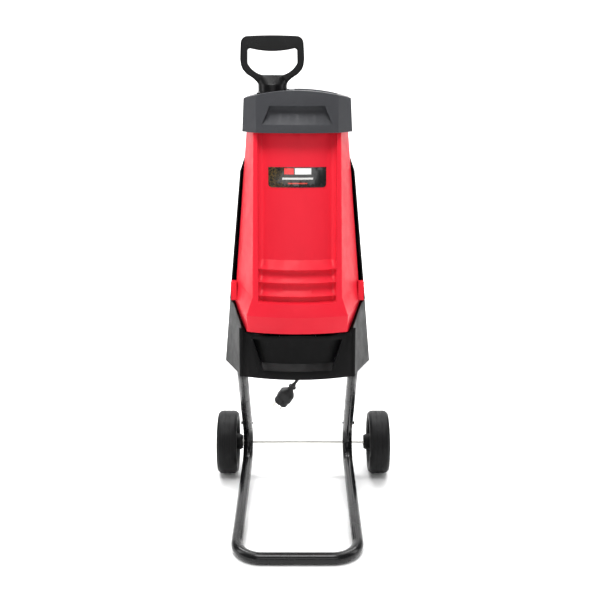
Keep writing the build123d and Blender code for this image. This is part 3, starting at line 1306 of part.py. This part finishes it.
HANDLE_DEEP = 26.0
with BuildPart() as pusher_handle:
    with BuildSketch(facing(HANDLE_DEEP / 2, CHUTE_X)):
        with BuildLine():
            Polyline((-30, 980), (-33, 984), (-41, 991.5), (-54, 999.6))
            Polyline((-54, 999.6), (-62, 1009), (-65.5, 1018), (-67, 1030))
            Polyline((-67, 1030), (-65.5, 1060))
            ThreePointArc((-65.5, 1060), (-61.5, 1071), (-52, 1076))
            ThreePointArc((-52, 1076), (0, 1077.5), (52, 1076))
            ThreePointArc((52, 1076), (61.5, 1071), (65.5, 1060))
            Polyline((65.5, 1060), (67, 1030))
            Polyline((67, 1030), (65.5, 1018), (62, 1009), (54, 999.6), (41, 991.5), (33, 984), (30, 980))
            Line((30, 980), (-30, 980))
        make_face()
        with BuildLine():
            Polyline((-51.5, 1044), (-52, 1022))
            ThreePointArc((-52, 1022), (-40, 1007), (0, 998.5))
            ThreePointArc((0, 998.5), (40, 1007), (52, 1022))
            Polyline((52, 1022), (51.5, 1044))
            ThreePointArc((51.5, 1044), (50.5, 1049), (46, 1051))
            ThreePointArc((46, 1051), (0, 1045.5), (-46, 1051))
            ThreePointArc((-46, 1051), (-50.5, 1049), (-51.5, 1044))
        make_face(mode=Mode.SUBTRACT)
    extrude(amount=HANDLE_DEEP)
    rod(CHUTE_X, 0, (CAP_TOP - 1, NECK_TOP), NECK_R)
    with BuildSketch(level(NECK_TOP, CHUTE_X)):
        Circle(NECK_R)
    with BuildSketch(level(NECK_TOP + 20, CHUTE_X)):
        Ellipse(36, HANDLE_DEEP / 2 + 0.2)
    loft(ruled=True)
    with BuildSketch(level(CAP_LOW + 0.2, CHUTE_X)):
        RectangleRounded(2 * SHAFT_HALF + 1.4, 2 * SHAFT_HALF + 1.4, 5)
    extrude(amount=CAP_TOP - CAP_LOW - 0.2)
    with BuildSketch(level(CAP_LOW - 14, CHUTE_X)):
        RectangleRounded(2 * SHAFT_HALF - 5.4, 2 * SHAFT_HALF - 5.4, 2.8)
    extrude(amount=14.5)
export(pusher_handle, "pusher_handle")
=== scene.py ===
"""Electric garden shredder: its looks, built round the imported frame. Metres, +Z up, the front faces -Y."""

import json
import math

import bmesh
import bpy
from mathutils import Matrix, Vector


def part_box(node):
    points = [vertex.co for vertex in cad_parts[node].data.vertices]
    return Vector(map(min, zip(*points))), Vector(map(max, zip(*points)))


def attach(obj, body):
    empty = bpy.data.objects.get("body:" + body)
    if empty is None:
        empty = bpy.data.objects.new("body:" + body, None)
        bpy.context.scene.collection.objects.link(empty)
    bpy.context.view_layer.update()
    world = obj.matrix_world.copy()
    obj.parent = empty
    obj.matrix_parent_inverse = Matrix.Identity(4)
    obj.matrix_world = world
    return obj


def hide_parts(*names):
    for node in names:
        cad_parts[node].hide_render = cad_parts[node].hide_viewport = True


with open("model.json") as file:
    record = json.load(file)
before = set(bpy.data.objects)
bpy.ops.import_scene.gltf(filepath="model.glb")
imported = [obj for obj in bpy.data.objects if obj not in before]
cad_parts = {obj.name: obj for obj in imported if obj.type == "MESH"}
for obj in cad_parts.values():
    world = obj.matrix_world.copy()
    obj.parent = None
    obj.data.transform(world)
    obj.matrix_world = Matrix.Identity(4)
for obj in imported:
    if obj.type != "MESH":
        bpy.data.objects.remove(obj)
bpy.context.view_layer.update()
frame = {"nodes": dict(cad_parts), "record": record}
nodes = frame["nodes"]
scene = bpy.context.scene

# ---------------------------------------------------------------- camera, floor and light
LENS = 52.2
CAMERA_PLACE = (-0.0083, -1.885, 1.014)
CAMERA_PITCH = math.radians(75)
WORLD_STRENGTH = 0.14

# Name, place, target, width, height and watts.
SOFTBOXES = (
    ("key_above", (-0.2, -1.05, 2.9), (0, 0, 0.6), 1.4, 0.9, 56),
    ("front_fill", (0.0, -3.4, 1.5), (0, 0, 0.6), 2.2, 1.6, 20),
    ("left_strip", (-1.8, -0.2, 1.0), (0, -0.1, 0.1), 0.6, 1.6, 10),
    ("right_strip", (1.8, -0.2, 1.0), (0, -0.1, 0.1), 0.6, 1.6, 10),
    ("backdrop_wash", (0.0, 2.6, 4.6), (0, 4.6, 0.6), 6.0, 1.5, 330),
    ("floor_wash", (0.0, 1.2, 4.0), (0, 1.0, 0), 5.0, 3.0, 150),
)


def look_at(thing, target):
    thing.rotation_euler = (Vector(target) - thing.location).to_track_quat("-Z", "Y").to_euler()


def add_camera():
    camera = bpy.data.objects.new("camera", bpy.data.cameras.new("camera"))
    camera.data.lens = LENS
    camera.location = CAMERA_PLACE
    camera.rotation_euler = (CAMERA_PITCH, 0, 0)
    scene.collection.objects.link(camera)
    scene.camera = camera


def add_softbox(name, place, target, width, height, watts):
    """Rectangular area light that faces the target."""
    light = bpy.data.lights.new(name, "AREA")
    light.shape = "RECTANGLE"
    light.size = width
    light.size_y = height
    light.energy = watts
    box = bpy.data.objects.new(name, light)
    box.location = place
    scene.collection.objects.link(box)
    look_at(box, target)


def add_world(strength):
    world = bpy.data.worlds.new("studio")
    world.use_nodes = True
    background = world.node_tree.nodes["Background"]
    background.inputs["Color"].default_value = (1.0, 1.0, 1.0, 1)
    background.inputs["Strength"].default_value = strength
    scene.world = world


def add_floor(half, back, bend, height):
    """Pale floor that sweeps up into a backdrop behind the object."""
    mesh = bmesh.new()
    steps = 12
    profile = [(-half, 0.0), (back - bend, 0.0)]
    for step in range(1, steps + 1):
        angle = math.pi / 2 * step / steps
        profile.append((back - bend + bend * math.sin(angle), bend - bend * math.cos(angle)))
    profile.append((back, height))
    rows = [[mesh.verts.new((x, y, z)) for y, z in profile] for x in (-half, half)]
    for left, right in zip(range(len(profile) - 1), range(1, len(profile))):
        face = mesh.faces.new((rows[0][left], rows[1][left], rows[1][right], rows[0][right]))
        face.smooth = True
    floor = mesh_object("studio_floor", mesh)
    return floor


def mesh_object(name, mesh):
    """Turns a bmesh into a linked object."""
    data = bpy.data.meshes.new(name)
    mesh.normal_update()
    mesh.to_mesh(data)
    mesh.free()
    made = bpy.data.objects.new(name, data)
    scene.collection.objects.link(made)
    return made


scene.view_settings.view_transform = "Standard"
add_camera()
add_world(WORLD_STRENGTH)
floor = add_floor(half=9.0, back=5.0, bend=1.5, height=6.0)
for softbox in SOFTBOXES:
    add_softbox(*softbox)

# ---------------------------------------------------------------- the mains lead
CORD_THICK = 0.0074
cord_points = (
    (0.041, 0.138, 0.402),
    (0.041, 0.138, 0.380),
    (0.034, 0.133, 0.356),
    (0.0225, 0.127, 0.332),
    (0.008, 0.123, 0.308),
    (-0.0074, 0.1226, 0.2839),
    (-0.0217, 0.128, 0.2617),
)


def make_cord():
    curve = bpy.data.curves.new("mains_lead", "CURVE")
    curve.dimensions = "3D"
    curve.bevel_depth = 1.0  # times each point's radius
    curve.bevel_resolution = 5
    curve.resolution_u = 12
    spline = curve.splines.new("NURBS")
    spline.points.add(len(cord_points) - 1)
    for point, place in zip(spline.points, cord_points):
        point.co = (*place, 1)
        point.radius = CORD_THICK / 2
    spline.order_u = 3
    spline.use_endpoint_u = True
    lead = bpy.data.objects.new("mains_lead", curve)
    scene.collection.objects.link(lead)
    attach(lead, "base")
    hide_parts("mains_cord")
    return lead


lead = make_cord()

# ---------------------------------------------------------------- material building blocks


class Finish:
    """A node material whose parts are added one by one on the object's own coordinates."""

    def __init__(self, name, roughness, metallic=0.0, specular=0.5):
        self.material = bpy.data.materials.new(name)
        self.material.use_nodes = True
        self.tree = self.material.node_tree
        self.shader = self.tree.nodes["Principled BSDF"]
        self.shader.inputs["Roughness"].default_value = roughness
        self.shader.inputs["Metallic"].default_value = metallic
        self.shader.inputs["Specular IOR Level"].default_value = specular
        self.coords = self.tree.nodes.new("ShaderNodeTexCoord").outputs["Object"]
        self.height = None

    def node(self, kind, **values):
        made = self.tree.nodes.new(kind)
        for key, value in values.items():
            setattr(made, key, value)
        return made

    def feed(self, value, socket):
        if isinstance(value, (int, float, tuple)):
            socket.default_value = value
        else:
            self.tree.links.new(value, socket)

    def stretched(self, scale):
        """Coordinates scaled by a factor for each axis."""
        mapping = self.node("ShaderNodeMapping")
        mapping.inputs["Scale"].default_value = scale
        self.feed(self.coords, mapping.inputs["Vector"])
        return mapping.outputs["Vector"]

    def noise(self, scale, detail=3.0, stretch=(1, 1, 1), rough=0.5):
        made = self.node("ShaderNodeTexNoise")
        self.feed(self.stretched(stretch), made.inputs["Vector"])
        made.inputs["Scale"].default_value = scale
        made.inputs["Detail"].default_value = detail
        made.inputs["Roughness"].default_value = rough
        return made.outputs["Fac"]

    def ridges(self, axis, scale):
        made = self.node("ShaderNodeTexWave", bands_direction=axis)
        self.feed(self.coords, made.inputs["Vector"])
        made.inputs["Scale"].default_value = scale
        return made.outputs["Fac"]

    def span(self, value, low, high, to_low, to_high):
        made = self.node("ShaderNodeMapRange")
        for name, number in (("From Min", low), ("From Max", high), ("To Min", to_low), ("To Max", to_high)):
            made.inputs[name].default_value = number
        self.feed(value, made.inputs["Value"])
        return made.outputs["Result"]

    def sum(self, first, second, how="ADD"):
        made = self.node("ShaderNodeMath", operation=how)
        self.feed(first, made.inputs[0])
        self.feed(second, made.inputs[1])
        return made.outputs[0]

    def blend(self, amount, first, second):
        """Mixes two colours."""
        made = self.node("ShaderNodeMix", data_type="RGBA")
        self.feed(amount, made.inputs["Factor"])
        for value, socket in ((first, made.inputs["A"]), (second, made.inputs["B"])):
            self.feed((*value, 1) if isinstance(value, tuple) else value, socket)
        return made.outputs["Result"]

    def colour(self, value):
        self.feed((*value, 1) if isinstance(value, tuple) else value, self.shader.inputs["Base Color"])

    def roughness(self, value):
        self.feed(value, self.shader.inputs["Roughness"])

    def bump(self, height, distance, strength=1.0):
        made = self.node("ShaderNodeBump")
        made.inputs["Strength"].default_value = strength
        made.inputs["Distance"].default_value = distance
        self.feed(height, made.inputs["Height"])
        if self.height:
            self.feed(self.height, made.inputs["Normal"])
        self.height = made.outputs["Normal"]
        self.feed(self.height, self.shader.inputs["Normal"])


def shade(colour, factor):
    return tuple(min(1.0, channel * factor) for channel in colour)


def moulded(name, colour, rough, grain=0.6, specular=0.5, dust=0.04):
    """Moulded plastic: fine grain, faint flow marks, uneven sheen and a little dust."""
    finish = Finish(name, rough, specular=specular)
    flow = finish.span(finish.noise(6, 4, (1, 1, 0.35)), 0.3, 0.7, 0, 1)
    body = finish.blend(flow, shade(colour, 0.93), shade(colour, 1.06))
    specks = finish.span(finish.noise(420, 2), 0.70, 0.80, 0, dust)
    finish.colour(finish.blend(specks, body, (0.45, 0.43, 0.41)))
    finish.roughness(finish.span(finish.noise(38, 4), 0.3, 0.7, rough - 0.05, rough + 0.06))
    finish.bump(finish.noise(1400, 2), 0.00010 * grain, 0.5)
    finish.bump(finish.noise(16, 2), 0.0012, 0.05)
    return finish.material


def enamel(name, colour):
    """Stoved enamel on steel tube: glossy, with faint orange peel and rub marks."""
    finish = Finish(name, 0.2, specular=0.2)
    finish.shader.inputs["Coat Weight"].default_value = 0.25
    finish.shader.inputs["Coat Roughness"].default_value = 0.08
    scuffs = finish.span(finish.noise(30, 6, (1, 1, 1), 0.7), 0.60, 0.72, 0, 0.05)
    finish.colour(finish.blend(scuffs, colour, (0.25, 0.25, 0.25)))
    finish.roughness(finish.span(finish.noise(24, 5), 0.35, 0.7, 0.16, 0.34))
    finish.bump(finish.noise(190, 2), 0.00025, 0.22)
    return finish.material


def plated(name, colour, rough, stretch=(1, 1, 1), streaks=300):
    """Plated or ground steel with fine streaks along its length and faint stains."""
    finish = Finish(name, rough, metallic=1.0)
    streak = finish.noise(streaks, 3, stretch)
    stain = finish.span(finish.noise(45, 5, (1, 1, 1), 0.65), 0.45, 0.75, 0, 0.5)
    finish.colour(finish.blend(stain, shade(colour, 1.05), shade(colour, 0.72)))
    finish.roughness(finish.span(streak, 0.3, 0.7, rough - 0.08, rough + 0.12))
    finish.bump(streak, 0.00006, 0.6)
    return finish.material


def rubber(name, colour):
    finish = Finish(name, 0.55, specular=0.4)
    bloom = finish.span(finish.noise(60, 5), 0.4, 0.75, 0, 0.25)
    finish.colour(finish.blend(bloom, colour, shade(colour, 2.2)))
    finish.roughness(finish.span(finish.noise(90, 3), 0.3, 0.7, 0.46, 0.66))
    finish.bump(finish.noise(900, 2), 0.0001, 0.7)
    return finish.material


def cast(name, colour):
    """Die-cast light alloy with a sandy skin."""
    finish = Finish(name, 0.45, metallic=0.9)
    finish.colour(finish.blend(finish.noise(70, 5), shade(colour, 0.75), shade(colour, 1.1)))
    finish.roughness(finish.span(finish.noise(300, 3), 0.3, 0.7, 0.36, 0.58))
    finish.bump(finish.noise(620, 4), 0.0003, 0.6)
    return finish.material


def laminated(name, colour, pitch, metallic=0.8):
    """Stacked sheets or wound wire: fine ridges along the height."""
    finish = Finish(name, 0.42, metallic=metallic)
    layers = finish.ridges("Z", 1 / (pitch * 20))
    finish.colour(finish.blend(layers, shade(colour, 0.6), shade(colour, 1.15)))
    finish.roughness(finish.span(finish.noise(80, 4), 0.3, 0.7, 0.34, 0.52))
    finish.bump(layers, 0.0003, 0.8)
    return finish.material


RED = (0.74, 0.018, 0.036)
finishes = {
    "frame_enamel": enamel("frame_enamel", (0.006, 0.006, 0.0065)),
    "zinc": plated("zinc", (0.62, 0.61, 0.58), 0.30, (0.05, 1, 1)),
    "casing_plastic": moulded("casing_plastic", (0.0022, 0.0022, 0.0024), 0.40, 1.0, 0.10, 0.01),
    "cast_alloy": cast("cast_alloy", (0.55, 0.56, 0.57)),
    "bearing_steel": plated("bearing_steel", (0.48, 0.48, 0.49), 0.25, (1, 1, 0.1)),
    "lamination": laminated("lamination", (0.22, 0.22, 0.23), 0.0006),
    "copper_winding": laminated("copper_winding", (0.55, 0.20, 0.07), 0.0009, 0.85),
    "brass_part": plated("brass_part", (0.66, 0.48, 0.18), 0.3),
    "carbon": rubber("carbon", (0.02, 0.02, 0.02)),
    "cord_rubber": rubber("cord_rubber", (0.008, 0.008, 0.0085)),
    "pin_nickel": plated("pin_nickel", (0.70, 0.68, 0.63), 0.2),
    "wheel_plastic": moulded("wheel_plastic", (0.006, 0.006, 0.0064), 0.5, 1.4, 0.15, 0.05),
    "blade_steel": plated("blade_steel", (0.52, 0.52, 0.53), 0.24, (1, 0.06, 1), 500),
    "red_plastic": moulded("red_plastic", RED, 0.38, 0.5, 0.12, 0.0),
    "shell_plastic": moulded("shell_plastic", (0.005, 0.005, 0.0054), 0.4, 1.0, 0.14, 0.02),
    "hood_plastic": moulded("hood_plastic", (0.046, 0.047, 0.052), 0.45, 1.6, 0.2),
    "handle_plastic": moulded("handle_plastic", (0.004, 0.004, 0.0043), 0.3, 0.6, 0.2, 0.02),
    "green_plastic": moulded("green_plastic", (0.02, 0.30, 0.06), 0.3, 0.4),
    "red_button_plastic": moulded("red_button_plastic", (0.6, 0.012, 0.012), 0.3, 0.4),
}


def floor_finish():
    finish = Finish("studio_floor", 0.6, specular=0.1)
    finish.colour(finish.blend(finish.noise(1.5, 4), (0.93, 0.93, 0.93), (0.95, 0.95, 0.95)))
    return finish.material


def label_finish():
    """Printed film: black, with plain bars where a maker would print, and a brownish fade at one end."""
    low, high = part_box("label_plate")
    centre_x = (low[0] + high[0]) / 2
    centre_z = (low[2] + high[2]) / 2
    finish = Finish("label_film", 0.22)
    finish.shader.inputs["Coat Weight"].default_value = 0.5
    split = finish.node("ShaderNodeSeparateXYZ")
    finish.feed(finish.coords, split.inputs[0])
    along = finish.sum(split.outputs["X"], centre_x, "SUBTRACT")
    up = finish.sum(split.outputs["Z"], centre_z, "SUBTRACT")
    fade = finish.span(along, -0.055, -0.005, 1, 0)
    spots = finish.span(finish.noise(210, 4, (1, 1, 1), 0.7), 0.42, 0.62, 0, 1)
    speckle = finish.sum(fade, spots, "MULTIPLY")
    print_colour = finish.blend(speckle, (0.006, 0.006, 0.006), (0.10, 0.065, 0.02))
    bars = (
        ((-0.027, -0.007), (0.006, 0.0185), (0.75, 0.02, 0.02)),
        ((-0.005, 0.029), (0.006, 0.0185), (0.80, 0.80, 0.78)),
        ((-0.031, 0.033), (-0.0045, -0.0005), (0.62, 0.62, 0.60)),
        ((-0.019, 0.021), (-0.0135, -0.0110), (0.60, 0.05, 0.03)),
    )
    for (left, right), (bottom, top), ink in bars:
        inside = 1.0
        for value, start, end in ((along, left, right), (up, bottom, top)):
            after = finish.sum(value, start, "GREATER_THAN")
            before = finish.sum(value, end, "LESS_THAN")
            inside = finish.sum(inside, finish.sum(after, before, "MULTIPLY"), "MULTIPLY")
        print_colour = finish.blend(inside, print_colour, ink)
    finish.colour(print_colour)
    finish.roughness(finish.span(finish.noise(120, 3), 0.3, 0.7, 0.16, 0.30))
    finish.bump(finish.noise(60, 2), 0.0003, 0.1)
    return finish.material


finishes["label_film"] = label_finish()
floor.data.materials.append(floor_finish())


def dress(piece, slot):
    """Gives every face of a piece its finish."""
    if not piece.data.materials:
        piece.data.materials.append(None)
    for index in range(len(piece.data.materials)):
        piece.data.materials[index] = finishes[slot]


for part in frame["record"]["subparts"]:
    dress(nodes[part["node"]], part["material_slot"])
dress(lead, "cord_rubber")

# ---------------------------------------------------------------- softer edges on the CAD pieces


WELD_REACH = 0.00001
FLAT_ANGLE = math.radians(0.6)  # faces that differ by less are one face
EDGE_ANGLE = math.radians(32)  # edges sharper than this are rounded


def soften(name, width):
    """Rounds a CAD piece's sharp edges by a modifier, so that they catch the light."""
    piece = nodes[name]
    weld = piece.modifiers.new("weld", "WELD")
    weld.merge_threshold = WELD_REACH
    flat = piece.modifiers.new("flat", "DECIMATE")
    flat.decimate_type = "DISSOLVE"
    flat.angle_limit = FLAT_ANGLE
    bevel = piece.modifiers.new("bevel", "BEVEL")
    bevel.width = width
    bevel.segments = 3
    bevel.limit_method = "ANGLE"
    bevel.angle_limit = EDGE_ANGLE
    bevel.harden_normals = True
    bevel.use_clamp_overlap = True


EDGE_WIDTHS = {
    "hood": 0.0016,
    "hopper_front_shell": 0.0012,
    "hopper_rear_shell": 0.0010,
    "lower_casing": 0.0010,
    "switch_box": 0.0006,
    "label_plate": 0.0002,
    "lock_knob": 0.0008,
    "start_button": 0.0005,
    "stop_button": 0.0005,
    "reset_button": 0.0004,
}
for node, edge in EDGE_WIDTHS.items():
    soften(node, edge)

# ---------------------------------------------------------------- pieces that stand for plain CAD solids


def rounded_copy(node, name, voxel, passes):
    """A moulding with soft edges: the CAD solid's shape, remeshed and smoothed."""
    source = nodes[node]
    piece = bpy.data.objects.new(name, source.data.copy())
    scene.collection.objects.link(piece)
    weld = piece.modifiers.new("weld", "WELD")
    weld.merge_threshold = WELD_REACH
    remesh = piece.modifiers.new("remesh", "REMESH")
    remesh.mode = "VOXEL"
    remesh.voxel_size = voxel
    remesh.use_smooth_shade = True
    smooth = piece.modifiers.new("smooth", "SMOOTH")
    smooth.factor = 0.5
    smooth.iterations = passes
    evaluated = piece.evaluated_get(bpy.context.evaluated_depsgraph_get())
    mesh = bpy.data.meshes.new_from_object(evaluated)
    piece.modifiers.clear()
    piece.data = mesh
    for polygon in mesh.polygons:
        polygon.use_smooth = True
    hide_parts(node)
    return piece


handle = rounded_copy("pusher_handle", "push_block_handle", 0.0012, 9)
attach(handle, "pusher")
dress(handle, "handle_plastic")

plug = rounded_copy("plug_body", "plug_moulding", 0.0006, 5)
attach(plug, "base")
dress(plug, "cord_rubber")

bpy.context.view_layer.update()
